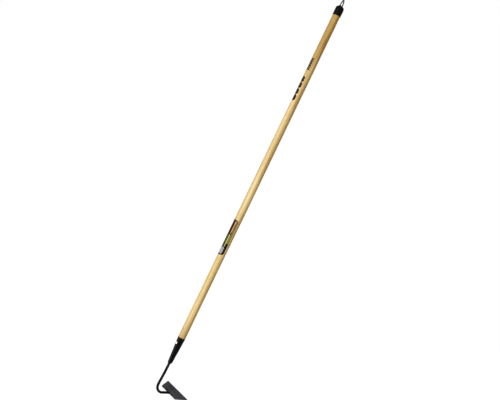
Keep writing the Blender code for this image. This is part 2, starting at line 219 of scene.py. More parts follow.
# %% Grain group
TREE_CENTRE_X, TREE_CENTRE_Y = -0.021, -0.038
BEND_GAIN = 2.4


def distance(first, second):
    """Length of the way from the origin, given its two legs."""
    return calc("SQRT", plus(calc("POWER", first, 2.0), calc("POWER", second, 2.0)))


def swing(cloud, amount):
    """Turns noise from 0 to 1 into a swing to both sides, of this size in all."""
    return times(minus(cloud, 0.5), amount)


def make_grain_group():
    numbers = {"Ring_Width": 0.0024, "Lean": 0.012, "Wander": 0.003, "Ragged": 0.0007}
    tree, source, sink = new_group("timber_grain", ("Rings", "Pores", "Streaks"), **numbers)
    place = source["Place"]
    x, y, z = split(place)
    bend = swing(speckle(place, 14.0, stretch=(1.0, 1.0, 0.16)), source["Wander"])
    sway = swing(speckle(place, 20.0, stretch=(1.0, 1.0, 0.13)), source["Wander"])
    lean = plus(times(z, source["Lean"]), times(bend, BEND_GAIN))
    across_x = plus(minus(x, TREE_CENTRE_X), lean)
    across_y = plus(minus(y, TREE_CENTRE_Y), times(sway, BEND_GAIN))
    fibre = speckle(place, 1100.0, 2.0, 0.6, (1.0, 1.0, 0.02))
    from_centre = plus(distance(across_x, across_y), swing(fibre, source["Ragged"]))
    year = calc("FRACT", calc("DIVIDE", from_centre, source["Ring Width"]))
    rings = times(fade(year, 0.0, 0.1), fade(year, 0.66, 0.16))
    dashes = speckle(place, 2800.0, 1.0, stretch=(1.0, 1.0, 0.03))
    pores = times(fade(dashes, 0.54, 0.62), fade(rings, 0.1, 0.7))
    broad = speckle(place, 150.0, 3.0, 0.6, (1.0, 1.0, 0.018))
    streaks = plus(times(broad, 0.7), times(fibre, 0.3))
    feed_all(sink, Rings=rings, Pores=pores, Streaks=fade(streaks, 0.36, 0.64))
    return tree


timber_grain = tell(make_grain_group())

# %% [markdown]
# ## Effect: the skin of black paint
# Enamel that is dipped or sprayed never dries flat. It has a fine swell like the peel of an orange,
# a few grains of dust under it, and a film of handling and shelf dust on top. The peel and the
# grains become height, and the film becomes a mask that greys the colour and dulls the gloss.

# %% Paint skin group
def make_paint_group():
    outputs = ("Height", "Film", "Mottle")
    tree, source, sink = new_group("paint_skin", outputs, Peel_Scale=420.0, Film_Scale=60.0)
    place, peel_scale = source["Place"], source["Peel Scale"]
    peel = speckle(place, peel_scale, 2.0, 0.45)
    dust = speckle(place, times(peel_scale, 5.0), 1.0)
    height = plus(peel, times(fade(dust, 0.68, 0.82), 0.6))
    cloud = speckle(place, source["Film Scale"], 4.0, 0.62)
    feed_all(sink, Height=height, Film=fade(cloud, 0.46, 0.74), Mottle=cloud)
    return tree


paint_skin = tell(make_paint_group())

# %% [markdown]
# ## Effect: rubbed edges
# Corners rub against racks and other tools first. The Bevel node gives the normal that a corner
# would have if it were rounded. Where that normal and the true one differ, there is an edge, and a
# little noise breaks the line up so that it does not look drawn with a ruler.

# %% Rubbed edge group
EDGE_REACH = 0.0007


def make_rub_group():
    tree, source, sink = new_group("edge_rub", ["Edge"], Break_Up=0.5)
    soft = tree.nodes.new("ShaderNodeBevel")
    soft.samples = 6
    feed(soft.inputs["Radius"], EDGE_REACH)
    true = tree.nodes.new("ShaderNodeNewGeometry")
    agree = tree.nodes.new("ShaderNodeVectorMath")
    agree.operation = "DOT_PRODUCT"
    for socket, node in zip(agree.inputs, (soft, true)):
        feed(socket, node.outputs["Normal"])
    edge = fade(agree.outputs["Value"], 0.985, 0.86)
    patch = speckle(source["Place"], 260.0, 3.0, 0.6)
    broken = minus(edge, times(patch, source["Break Up"]))
    feed(sink["Edge"], fade(broken, 0.1, 0.6))
    return tree


edge_rub = tell(make_rub_group())

# %% [markdown]
# ## A home for each finish
# Every material starts in the same way: an empty web with a Principled shader, its plain numbers
# set on the shader itself. What varies over the surface is wired in afterwards.

# %% Starting a finish
def new_finish(name, **plain):
    """A material. Returns it, its shader's sockets and the place of a point on the piece."""
    made = bpy.data.materials.new(name)
    made.use_nodes = True
    nodes = made.node_tree.nodes
    shader = nodes["Principled BSDF"].inputs
    feed_all(shader, **plain)
    return made, shader, nodes.new("ShaderNodeTexCoord").outputs["Object"]


def relief(shader, height, depth):
    """Feeds a height, 0 to 1, into the normal. Depth is how many metres a height of 1 stands."""
    node = new_node("Bump", height)
    feed_all(node.inputs, Strength=1.0, Distance=depth, Height=height)
    feed(shader["Normal"], node.outputs["Normal"])


# %% [markdown]
# ## A home for each piece
# A piece is finished when its doubles are welded, its faces point outwards, and it hangs on the
# frame: it rides on the tool's one body, stands in for its hidden solid and carries its finish.

# %% Finishing a piece
WELD_DISTANCE = 0.000001


def close_up(bm):
    """Welds doubled points, then turns every face outwards."""
    bmesh.ops.remove_doubles(bm, verts=bm.verts, dist=WELD_DISTANCE)
    bmesh.ops.recalc_face_normals(bm, faces=bm.faces)


def put_in_scene(name, data):
    """An object round a mesh, a lamp or a camera."""
    thing = bpy.data.objects.new(name, data)
    bpy.context.scene.collection.objects.link(thing)
    return thing


def to_mesh(bm, name, finish):
    """Turns a finished bmesh into a mesh with its material."""
    mesh = bpy.data.meshes.new(name)
    bm.to_mesh(mesh)
    bm.free()
    mesh.materials.append(finish)
    return mesh


def hang_on_frame(bm, name, node, finish, sharp=None):
    """Makes a piece that stands for a CAD node. Edges over the angle sharp, in degrees, stay crisp."""
    mesh = to_mesh(bm, name, finish)
    mesh.shade_smooth()
    if sharp:
        mesh.set_sharp_from_angle(angle=math.radians(sharp))
    piece = put_in_scene(name, mesh)
    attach(piece, "root")
    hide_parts(node)
    return piece


def report_piece(piece, node):
    """Prints how many triangles a piece has and how far it departs from its solid's box."""
    shown = piece.evaluated_get(bpy.context.evaluated_depsgraph_get()).data
    low = [min(vert.co[axis] for vert in shown.vertices) for axis in range(3)]
    high = [max(vert.co[axis] for vert in shown.vertices) for axis in range(3)]
    solid_low, solid_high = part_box(node)
    pairs = zip(low + high, [*solid_low, *solid_high])
    away = [round(1000 * (mine - theirs), 2) for mine, theirs in pairs]
    shown.calc_loop_triangles()
    print(piece.name, len(shown.loop_triangles), "triangles, mm off the solid's box:", away)


# %% [markdown]
# Handle, socket weld and nail are round, so they are turned as on a lathe. A chain of points is the
# profile, and spin carries it once round the axis. The seam where the turn closes has to be merged.

# %% Helpers for turned pieces
def turn_on_lathe(profile, steps):
    """Spins a chain of (radius, height) points once round Z and returns the bmesh."""
    bm = bmesh.new()
    chain = [bm.verts.new((radius, 0.0, height)) for radius, height in profile]
    links = [bm.edges.new(pair) for pair in zip(chain, chain[1:])]
    axis = {"cent": (0.0, 0.0, 0.0), "axis": (0.0, 0.0, 1.0), "angle": FULL_TURN}
    bmesh.ops.spin(bm, geom=chain + links, steps=steps, use_merge=True, **axis)
    return bm


def rounded(centre_radius, centre_height, size, start, end, count):
    """Points of an arc on a profile, from one angle in degrees to another."""
    points = []
    for step in range(count + 1):
        angle = math.radians(start + (end - start) * step / count)
        points.append((centre_radius + size * math.cos(angle), centre_height + size * math.sin(angle)))
    return points


# %% [markdown]
# ## Finish: varnished ash with a printed band
# The handle is pale ash under a clear varnish that has yellowed it. Toward the cap the wood is
# darker, like honey, and it clears over the first 36 cm. Toward the socket it darkens again a
# little, and a narrow band just above the socket's rim is darker still. Light and shade are also
# painted into the colour: the side away from the key light, to the camera's right, is painted
# browner as shade, the edge on the camera's left is painted a little darker, both more deeply
# between 32 and 72 cm below the eye, and a painted highlight lightens the strip left of the middle
# above the label. A band of plain ornament is printed in black on the back: a row of slanted
# strokes, then four lozenges that touch. Both are laid out by the distance round and along the
# handle, so they curve with it. Every tone, painted shade and print is one more coat over the pale
# wood.

# %% Ash finish
HANDLE_RADIUS = 0.014
CAP_RIM_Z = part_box("hang_cap")[0].z
SOCKET_RIM_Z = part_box("socket")[1].z
BAND_HALF_WIDTH = 0.0074
STROKES_TOP_Z = CAP_RIM_Z - 0.1720
STROKES_LENGTH = 0.0465
STROKE_PITCH = 0.0080
STROKE_LOW, STROKE_HIGH = 0.0007, 0.0075
STROKE_SLANT = 0.7
LOZENGES_TOP_Z = CAP_RIM_Z - 0.2429
LOZENGE_PITCH = 0.0240
LOZENGE_COUNT = 4
LOZENGE_TALL, LOZENGE_WIDE = 0.66, 0.0214
# Direction toward the camera's right, the side away from the key light, which is painted as shade.
SHADED_SIDE_X, SHADED_SIDE_Y = 0.76, -0.65
# Heights between which the painted shade on both sides of the handle is deeper.
UPPER_SHADE_LOW_Z, UPPER_SHADE_HIGH_Z = -0.72, -0.32
# Heights of the painted highlight on the handle.
HIGHLIGHT_LOW_Z, HIGHLIGHT_HIGH_Z = -0.835, -0.695


def round_the_back(place, radius):
    """Distance round the handle from the middle of its back, in the radius's unit, and the height."""
    x, y, z = split(place)
    return times(calc("ARCTAN2", y, times(x, -1.0)), radius), z


def between(value, low, high, soft=0.0002):
    """1 inside a range and 0 outside, with soft ends."""
    return times(fade(value, low - soft, low + soft), fade(value, high + soft, high - soft))


def repeat(value, pitch):
    """Distance into the current repeat of a pattern, from 0 to the pitch."""
    return times(calc("FRACT", calc("DIVIDE", value, pitch)), pitch)


def printed_band(place):
    """Mask of the black ornament on the back of the handle."""
    around, z = round_the_back(place, HANDLE_RADIUS)
    aside = calc("ABSOLUTE", around)
    inside = fade(aside, BAND_HALF_WIDTH + 0.0002, BAND_HALF_WIDTH - 0.0002)
    slanted = plus(z, times(around, STROKE_SLANT))
    stroke = between(repeat(slanted, STROKE_PITCH), STROKE_LOW, STROKE_HIGH)
    strokes = times(stroke, inside, between(z, STROKES_TOP_Z - STROKES_LENGTH, STROKES_TOP_Z))
    below = calc("DIVIDE", minus(LOZENGES_TOP_Z, z), LOZENGE_PITCH)
    along = calc("ABSOLUTE", minus(calc("FRACT", below), 0.5))
    size = plus(calc("DIVIDE", along, LOZENGE_TALL), calc("DIVIDE", aside, LOZENGE_WIDE))
    lozenges = times(fade(size, 0.82, 0.79), inside, between(below, 0.0, LOZENGE_COUNT, soft=0.02))
    worn = fade(speckle(place, 700.0, 3.0, 0.6), 0.26, 0.34)
    return times(calc("MAXIMUM", strokes, lozenges), worn)


def make_ash():
    made, shader, place = new_finish("varnished_ash", Coat_Roughness=0.34, Specular_IOR_Level=0.1)
    x, y, z = split(place)
    grain = use_group(timber_grain, place)
    rings, pores = grain["Rings"], grain["Pores"]
    ink = printed_band(place)
    height = plus(z, swing(speckle(place, 9.0), 0.10))
    drift = swing(speckle(place, 26.0, stretch=(1.0, 1.0, 0.1)), 0.012)
    # Distance toward the camera's right. The masks on it paint shade and a highlight, not grain.
    aside = plus(times(x, SHADED_SIDE_X), times(y, SHADED_SIDE_Y), drift)
    # Between these heights the painted shade on both sides is deeper.
    upper = between(height, UPPER_SHADE_LOW_Z, UPPER_SHADE_HIGH_Z, soft=0.06)
    # Painted shade: the side away from the key light is coloured browner.
    shade_side = fade(aside, -0.001, 0.007)
    # Painted shade: the edge on the camera's left is coloured a little darker and greyer.
    left_edge_shade = fade(aside, -0.0065, -0.0115)
    honey = fade(height, CAP_RIM_Z - 0.36, CAP_RIM_Z - 0.09)
    # Painted highlight: a paler strip left of the middle, above the label.
    middle = between(aside, -0.0075, -0.0005, soft=0.003)
    painted_highlight = times(between(height, HIGHLIGHT_LOW_Z, HIGHLIGHT_HIGH_Z, soft=0.06), middle)
    # Darker toward the socket, and a dark band just above the socket's rim.
    toward_socket = fade(height, SOCKET_RIM_Z + 0.12, SOCKET_RIM_Z + 0.03)
    socket_rim_band = fade(z, SOCKET_RIM_Z + 0.004, SOCKET_RIM_Z)
    wood = coats(
        tint(grain["Streaks"], (227, 195, 121), (250, 228, 171)),
        (rings, 0.6, (206, 156, 80)),
        (pores, 0.55, (140, 96, 44)),
        (shade_side, 1.0, tint(upper, (255, 246, 220), (234, 217, 184)), "MULTIPLY"),
        (left_edge_shade, 1.0, tint(upper, (236, 238, 236), (218, 220, 216)), "MULTIPLY"),
        (honey, 1.0, (206, 191, 150), "MULTIPLY"),
        (painted_highlight, 0.5, (255, 242, 198)),
        (toward_socket, 0.35, (206, 182, 142), "MULTIPLY"),
        (socket_rim_band, 0.5, (96, 66, 34)),
        (ink, 1.0, (26, 16, 9)),
    )
    smear = speckle(place, 40.0, 3.0, 0.6, (1.0, 1.0, 0.2))
    rough = plus(times(rings, 0.08), times(ink, 0.12), 0.36, times(smear, 0.16))
    coat = minus(0.17, times(ink, 0.14))
    feed_all(shader, Base_Color=wood, Roughness=rough, Coat_Weight=coat)
    relief(shader, plus(times(rings, -0.35), times(pores, -0.8), times(ink, 0.3)), depth=0.00004)
    return made


varnished_ash = tell(make_ash())

# %% [markdown]
# ## Piece: the handle
# A turned dowel, 28 mm across and 1.4 m long. Its top goes into the cap, and its foot is cut down to
# a tapered nose that fills the socket. One profile, spun once, gives all of it. Rings of points every
# few centimetres keep the long faces short enough for a clean bake of the grain.

# %% Handle
HANDLE_TOP_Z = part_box("handle")[1].z
HANDLE_END_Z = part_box("handle")[0].z
SOCKET_END_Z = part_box("socket")[0].z
SOCKET_LENGTH = SOCKET_RIM_Z - SOCKET_END_Z
SOCKET_WALL = 0.0019
SOCKET_RIM_RADIUS = 0.0144
SOCKET_END_RADIUS = 0.0087
TOP_ROUND = 0.004
SHOULDER_CHAMFER = 0.0008
NOSE_GAP = 0.0002
NOSE_CHAMFER = 0.0015
HANDLE_SPANS = 36


def socket_radius(z):
    """Outer radius of the socket's cone at a height."""
    share = (SOCKET_RIM_Z - z) / SOCKET_LENGTH
    return SOCKET_RIM_RADIUS + (SOCKET_END_RADIUS - SOCKET_RIM_RADIUS) * share


def make_handle():
    start = HANDLE_TOP_Z - TOP_ROUND
    span = (start - SOCKET_RIM_Z - SHOULDER_CHAMFER) / HANDLE_SPANS
    nose_top = socket_radius(SOCKET_RIM_Z) - SOCKET_WALL - NOSE_GAP
    nose_end = socket_radius(HANDLE_END_Z) - SOCKET_WALL - NOSE_GAP
    profile = [
        (0.0, HANDLE_TOP_Z),
        *rounded(HANDLE_RADIUS - TOP_ROUND, start, TOP_ROUND, 90, 0, 8),
        *[(HANDLE_RADIUS, start - span * step) for step in range(1, HANDLE_SPANS + 1)],
        (HANDLE_RADIUS - SHOULDER_CHAMFER, SOCKET_RIM_Z + 0.0001),
        (nose_top, SOCKET_RIM_Z),
        (nose_end - NOSE_CHAMFER, HANDLE_END_Z + NOSE_CHAMFER),
        (nose_end - 2 * NOSE_CHAMFER, HANDLE_END_Z),
        (0.0, HANDLE_END_Z),
    ]
    bm = turn_on_lathe(profile, steps=96)
    close_up(bm)
    return hang_on_frame(bm, "turned_handle", "handle", varnished_ash, sharp=50)


report_piece(make_handle(), "handle")

# %% [markdown]
# ## Finish: soft moulded black plastic
# The cap is moulded in a soft plastic. Its skin is an even, fine matt texture from the mould, with
# faint pale scuffs where it was handled, and a fine raised line where the two halves of the mould
# met, in the plane Y = 0. The line is relief only, far too low to model.

# %% Cap finish
def make_cap_plastic():
    made, shader, place = new_finish("moulded_plastic", Specular_IOR_Level=0.045)
    from_parting = calc("ABSOLUTE", split(place)[1])
    skin = use_group(paint_skin, place, Peel_Scale=1500.0, Film_Scale=90.0)
    rub = use_group(edge_rub, place, Break_Up=0.9)
    scuffs = fade(speckle(place, 210.0, 4.0, 0.7, (1.0, 0.35, 0.6)), 0.56, 0.8)
    black = coats(
        (5, 5, 4),
        (skin["Film"], 0.5, (15, 15, 12)),
        (scuffs, 0.16, (54, 53, 51)),
        (rub["Edge"], 0.25, (58, 58, 57)),
    )
    feed_all(shader, Base_Color=black, Roughness=plus(0.46, times(skin["Mottle"], 0.2)))
    line = fade(from_parting, 0.0002, 0.00008)
    relief(shader, plus(times(skin["Height"], 0.35), line), depth=0.00008)
    return made


moulded_plastic = tell(make_cap_plastic())

# %% [markdown]
# ## Piece: the hanging cap
# Cap and eye come out of one mould, so the eye grows out of the dome with no seam and every edge is
# soft. A Boolean would leave a hard crease there. Instead a coarse cage is made and subdivided: a
# grid is laid over the dome, the patch in its middle is pulled up level by level into a flat
# tongue, the hole is opened in the tongue and its two rims are bridged, and the border of the grid
# is drawn down into the skirt, round its rim and up again as the bore.

# %% Cap cage: dome and tongue
DOME_TOP_Z = -0.0202
SKIRT_TOP_Z = -0.0307
DOME_FLAT_RADIUS = 0.0065
DOME_BORDER_RADIUS = 0.0122
GRID_HALF = 3
TONGUE_SPACING = (0.0043, 0.0041)
SHOULDER_DROP = 0.0009
CAP_RADIUS = 0.0155
CAP_BORE_RADIUS = 0.0143
EYE_LEVELS = [
    # height, half width, half width of the hole, half thickness,
    # extra height of the middle and of the sides of the hole
    (-0.01935, 0.00790, 0.0040, 0.00285, 0.0, 0.0),
    (-0.01760, 0.00742, 0.0031, 0.00222, -0.0006, 0.0002),
    (-0.01430, 0.00755, 0.0040, 0.00219, 0.0, 0.0),
    (-0.00960, 0.00668, 0.0029, 0.00219, 0.0, 0.0),
    (-0.00480, 0.00578, 0.0019, 0.00219, 0.0, 0.0),
    (-0.00130, 0.00510, 0.0012, 0.00219, 0.0, 0.0),
    (0.00060, 0.00480, 0.0009, 0.00219, -0.0003, -0.0005),
    (0.00330, 0.00425, 0.0018, 0.00215, 0.0, 0.0),
    (0.00515, 0.00250, 0.0012, 0.00175, 0.0003, 0.0002),
]
HOLE_LOW, HOLE_HIGH = 2, 7


def dome_height(radius):
    """Height of the dome's surface at a distance from the axis."""
    share = max(radius - DOME_FLAT_RADIUS, 0.0) / (CAP_RADIUS - DOME_FLAT_RADIUS)
    return SKIRT_TOP_Z + (DOME_TOP_Z - SKIRT_TOP_Z) * math.sqrt(max(1.0 - share**2, 0.0))


def on_circle(radius, angle, height):
    """A point on a circle round Z."""
    return Vector((radius * math.cos(angle), radius * math.sin(angle), height))


def pull_out(bm, faces):
    """Extrudes a patch of faces and returns the copy that ends up on top."""
    rims = {edge for face in faces for edge in face.edges}
    made = bmesh.ops.extrude_face_region(bm, geom=list(faces) + list(rims))["geom"]
    return [item for item in made if isinstance(item, bmesh.types.BMFace)]


def on_tongue(vert, column, row):
    """Whether a point of the grid belongs to the patch that is pulled up."""
    return abs(vert[column]) <= 2 and abs(vert[row]) <= 1


def lay_dome(bm, column, row):
    """Lays the grid on the dome: its border becomes a circle, its middle the root of the tongue."""
    for vert in bm.verts:
        x, y = vert.co.xy
        vert[column], vert[row] = round(GRID_HALF * x), round(GRID_HALF * y)
        radius = max(abs(x), abs(y))
        along = math.pi / 4 * (min(abs(x), abs(y)) / radius if radius else 0.0)
        angle = math.atan2(y, x)
        quarter = round(angle / (math.pi / 2)) * math.pi / 2
        angle = quarter + math.copysign(along, angle - quarter)
        vert.co = on_circle(DOME_BORDER_RADIUS * radius, angle, 0.0)
        if on_tongue(vert, column, row):
            vert.co.x = TONGUE_SPACING[0] * vert[column]
            vert.co.y = TONGUE_SPACING[1] * vert[row]
        vert.co.z = dome_height(vert.co.xy.length)


def raise_tongue(bm, column, row, level):
    """Pulls the middle of the grid up through the levels of the eye."""
    patch = [face for face in bm.faces if all(on_tongue(vert, column, row) for vert in face.verts)]
    for number, (height, outer, inner, half, *higher) in enumerate(EYE_LEVELS, start=1):
        patch = pull_out(bm, patch)
        for vert in {vert for face in patch for vert in face.verts}:
            step = abs(vert[column])
            vert[level] = number
            vert.co.x = math.copysign((0.0, inner, outer)[step], vert[column])
            vert.co.y = half * vert[row]
            vert.co.z = height + (*higher, 0.0)[step]
    for vert in {vert for face in patch for vert in face.verts if abs(vert[column]) == 2}:
        vert.co.z -= SHOULDER_DROP


def open_hole(bm, column, row, level):
    """Removes the faces over the hole on both sides and bridges the two rims."""

    def over_hole(face):
        inside = all(abs(v[column]) <= 1 and HOLE_LOW <= v[level] <= HOLE_HIGH for v in face.verts)
        return inside and len({v[row] for v in face.verts}) == 1

    doomed = [face for face in bm.faces if over_hole(face)]
    bmesh.ops.delete(bm, geom=doomed, context="FACES")
    open_edges = [edge for edge in bm.edges if edge.is_boundary]
    rims = [edge for edge in open_edges if all(v[level] >= HOLE_LOW for v in edge.verts)]
    bmesh.ops.bridge_loops(bm, edges=rims)
    return len(doomed)


# %% [markdown]
# The skirt is drawn down from the border ring by ring. Two rings close together hold a firm edge
# when the cage is subdivided, and rings far apart let the surface flow, so the rim gets tight rings
# and the skirt loose ones. Subdividing pulls a ring of 24 points in by about one part in 90, so the
# rings are made that much wider.

# %% Cap cage: skirt, rim and bore
CAGE_SWELL = 1.0114
CAGE_RADIUS = CAP_RADIUS * CAGE_SWELL
CAGE_BORE_RADIUS = CAP_BORE_RADIUS * CAGE_SWELL
RIM_HOLD = 0.0004
DOME_RINGS = (0.0139, 0.0151)
SKIRT_RINGS_Z = (SKIRT_TOP_Z - 0.0005, -0.037, -0.047, -0.0556, CAP_RIM_Z + RIM_HOLD)
BORE_RINGS_Z = (CAP_RIM_Z + RIM_HOLD, -0.047, -0.0327)
RIM_RINGS = [(CAGE_RADIUS - 0.0003, CAP_RIM_Z), (CAGE_BORE_RADIUS + 0.0001, CAP_RIM_Z)]
CEILING_RINGS = [(CAGE_BORE_RADIUS - 0.002, -0.0311), (0.005, -0.0309)]


def draw_ring(bm, ring, radius, height):
    """Extrudes a ring of edges and lays the copy on a circle at a height."""
    made = bmesh.ops.extrude_edge_only(bm, edges=ring)["geom"]
    points = [item for item in made if isinstance(item, bmesh.types.BMVert)]
    order = sorted(points, key=lambda vert: math.atan2(vert.co.y, vert.co.x))
    step = FULL_TURN / len(order)
    start = round(math.atan2(order[0].co.y, order[0].co.x) / step)
    for number, vert in enumerate(order, start):
        vert.co = on_circle(radius, step * number, height)
    edges = [item for item in made if isinstance(item, bmesh.types.BMEdge)]
    return [edge for edge in edges if all(vert in points for vert in edge.verts)]


def add_modifier(piece, name, kind, **settings):
    """Gives a piece a modifier with these settings."""
    made = piece.modifiers.new(name, kind)
    for label, value in settings.items():
        setattr(made, label, value)


def make_cap():
    bm = bmesh.new()
    bmesh.ops.create_grid(bm, x_segments=2 * GRID_HALF, y_segments=2 * GRID_HALF, size=1.0)
    column, row, level = (bm.verts.layers.int.new(name) for name in ("column", "row", "level"))
    lay_dome(bm, column, row)
    raise_tongue(bm, column, row, level)
    opened = open_hole(bm, column, row, level)
    ring = [edge for edge in bm.edges if edge.is_boundary]
    dome = [(radius * CAGE_SWELL, dome_height(radius)) for radius in DOME_RINGS]
    skirt = [(CAGE_RADIUS, z) for z in SKIRT_RINGS_Z]
    bore = [(CAGE_BORE_RADIUS, z) for z in BORE_RINGS_Z]
    for radius, height in dome + skirt + RIM_RINGS + bore + CEILING_RINGS:
        ring = draw_ring(bm, ring, radius, height)
    bmesh.ops.contextual_create(bm, geom=ring)
    close_up(bm)
    piece = hang_on_frame(bm, "moulded_cap", "hang_cap", moulded_plastic)
    add_modifier(piece, "Soft mould", "SUBSURF", levels=3, render_levels=3)
    add_modifier(piece, "Fixed diagonals", "TRIANGULATE")
    print("faces opened for the hole:", opened)
    return piece


report_piece(make_cap(), "hang_cap")

# %% [markdown]
# ## Finish: black enamel on steel
# Socket, rod and welds were painted together after welding. The paint is nearly black and glossy,
# with a soft peel. Each piece gets its own version of it: the socket is the glossiest, the rod is
# a little drier, and the welds hide soot and scale under the paint. Where an edge is rubbed, the
# paint is thin and greyer, but it doesn't go through to the steel on a new tool.

# %% Enamel finish
def make_enamel(name, gloss, deep, greyed, peel_scale, peel_depth, rubbed=0.35):
    made, shader, place = new_finish(name, Specular_IOR_Level=0.055)
    skin = use_group(paint_skin, place, Peel_Scale=peel_scale, Film_Scale=55.0)
    edge = use_group(edge_rub, place, Break_Up=0.7)["Edge"]
    film = skin["Film"]
    paint = coats(deep, (film, 0.45, greyed), (edge, rubbed, (70, 69, 68)))
    rough = plus(gloss, times(film, 0.14), times(edge, 0.15))
    feed_all(shader, Base_Color=paint, Roughness=rough)
    relief(shader, skin["Height"], peel_depth)
    return tell(made)


socket_enamel = make_enamel("socket_enamel", 0.22, (2, 2, 5), (9, 10, 13), 420.0, 0.00004)
rod_enamel = make_enamel("rod_enamel", 0.26, (2, 2, 2), (8, 8, 8), 520.0, 0.00004)
weld_enamel = make_enamel("weld_enamel", 0.44, (5, 5, 5), (18, 17, 16), 900.0, 0.00010, 0.2)

# %% [markdown]
# ## Piece: the socket
# The socket is cut from sheet as a flat fan and rolled into a cone, and its two edges almost meet
# along the front. That is also how it is made here: a flat grid is rolled round the axis, and a
# Solidify modifier gives it the thickness of the sheet, inwards. The seam is wider at the rim than
# at the end, as on a real rolled socket, and the nail has pulled the sheet in a little round its head.

# %% Socket
SEAM_AT_RIM = 0.0014
SEAM_AT_END = 0.0006
NAIL_Z = SOCKET_RIM_Z - 0.0222
NAIL_DIMPLE = 0.0003
NAIL_DIMPLE_SPREAD = 0.0062


def roll_up(vert):
    """Moves a point of the flat sheet, -1 to 1 each way, to its place on the cone."""
    share = (1.0 - vert.co.y) / 2
    z = SOCKET_RIM_Z - SOCKET_LENGTH * share
    radius = socket_radius(z)
    seam = SEAM_AT_RIM + (SEAM_AT_END - SEAM_AT_RIM) * share
    angle = math.pi + vert.co.x * (math.pi - seam / 2 / radius)
    from_nail = math.hypot((angle - math.pi) * radius, z - NAIL_Z)
    radius -= NAIL_DIMPLE * math.exp(-((from_nail / NAIL_DIMPLE_SPREAD) ** 2))
    vert.co = on_circle(radius, angle, z)


def face_outwards(bm):
    """Turns the faces of an open sheet away from the axis."""
    bmesh.ops.recalc_face_normals(bm, faces=bm.faces)
    if sum(face.normal.xy.dot(face.calc_center_median().xy) for face in bm.faces) < 0:
        bmesh.ops.reverse_faces(bm, faces=bm.faces)


def soften_edges(piece, width, segments, degrees):
    """Rounds the edges that are sharper than an angle."""
    limit = {"limit_method": "ANGLE", "angle_limit": math.radians(degrees)}
    add_modifier(piece, "Soft edges", "BEVEL", width=width, segments=segments, **limit)


def make_socket():
    bm = bmesh.new()
    bmesh.ops.create_grid(bm, x_segments=96, y_segments=34, size=1.0)
    for vert in bm.verts:
        roll_up(vert)
    face_outwards(bm)
    piece = hang_on_frame(bm, "rolled_socket", "socket", socket_enamel)
    add_modifier(piece, "Sheet", "SOLIDIFY", thickness=SOCKET_WALL, offset=-1.0)
    soften_edges(piece, width=0.00045, segments=3, degrees=50)
    return piece


report_piece(make_socket(), "socket")

# %% [markdown]
# ## Piece: the swan neck
# The neck is one length of round bar, bent cold round a former. Its centre line is made of straight
# runs and two bends, a slight one and the big one of 102 degrees. The end face of the bar is
# extruded from station to station and turned to the new direction each time. A bar that is bent
# cold flattens slightly across the bend, so the section is squeezed there by about 3 percent.

# %% Neck centre line
NECK_RADIUS = 0.005
NECK_SET_BACK = 0.00081
NECK_IN_SOCKET = 0.0125
FIRST_LEAN = 1.6
RUNS = (0.0330, 0.0398, 0.0272)
RUN_PARTS = (0.34, 0.33, 0.33)
BENDS = [
    # turn in degrees, radius, steps
    (-2.6, 0.300, 4),
    (102.0, 0.030, 51),
]
FLATTENING_TURN = 10.0
SQUEEZED_THINNER, SQUEEZED_WIDER = 0.03, 0.012


def advance(x, z, heading, length):
    """The place after a step along the bar."""
    return x - math.sin(heading) * length, z - math.cos(heading) * length


def centre_line():
    """Stations of the bar as (x, z, heading in radians, squeeze)."""
    heading = math.radians(FIRST_LEAN)
    x, z = -NECK_SET_BACK, SOCKET_END_Z
    stations = [(*advance(x, z, heading, -NECK_IN_SOCKET), heading, 0.0)]
    x, z = advance(x, z, heading, RUNS[0])
    stations.append((x, z, heading, 0.0))
    for (turn, radius, steps), run in zip(BENDS, RUNS[1:]):
        part = math.radians(turn) / steps
        chord = 2 * radius * math.sin(abs(part) / 2)
        for step in range(1, steps + 1):
            x, z = advance(x, z, heading - part / 2, chord)
            heading -= part
            squeeze = math.sin(math.pi * step / steps) if abs(turn) > FLATTENING_TURN else 0.0
            stations.append((x, z, heading, squeeze))
        for share in RUN_PARTS:
            x, z = advance(x, z, heading, run * share)
            stations.append((x, z, heading, 0.0))
    return stations


def way_of_bar(heading):
    """The direction that the bar runs in. Heading 0 points straight down."""
    return Vector((-math.sin(heading), 0.0, -math.cos(heading)))


def station_matrix(x, z, heading, squeeze):
    """Frame of the bar's section: local Z runs along it, local X lies in the plane of the bend."""
    along, across = way_of_bar(heading), Vector((0.0, 1.0, 0.0))
    turned = Matrix((across.cross(along), across, along)).transposed().to_4x4()
    thinner, wider = 1.0 - SQUEEZED_THINNER * squeeze, 1.0 + SQUEEZED_WIDER * squeeze
    return Matrix.Translation((x, 0.0, z)) @ turned @ Matrix.Diagonal((thinner, wider, 1.0, 1.0))


NECK_STATIONS = centre_line()
END_X, END_Z, END_HEADING, _ = NECK_STATIONS[-1]
ROD_END, ROD_WAY = Vector((END_X, 0.0, END_Z)), way_of_bar(END_HEADING)
print("neck stations:", len(NECK_STATIONS), "end at", [round(1000 * value, 2) for value in ROD_END])

# %% Neck
def make_neck():
    bm = bmesh.new()
    places = [station_matrix(*station) for station in NECK_STATIONS]
    bmesh.ops.create_circle(bm, cap_ends=True, segments=40, radius=NECK_RADIUS, matrix=places[0])
    tip = bm.faces[:]
    for before, after in zip(places, places[1:]):
        tip = pull_out(bm, tip)
        points = list({vert for face in tip for vert in face.verts})
        bmesh.ops.transform(bm, matrix=after @ before.inverted(), verts=points)
    close_up(bm)
    piece = hang_on_frame(bm, "swan_neck", "neck", rod_enamel)
    soften_edges(piece, width=0.0004, segments=2, degrees=60)
    return piece


report_piece(make_neck(), "neck")

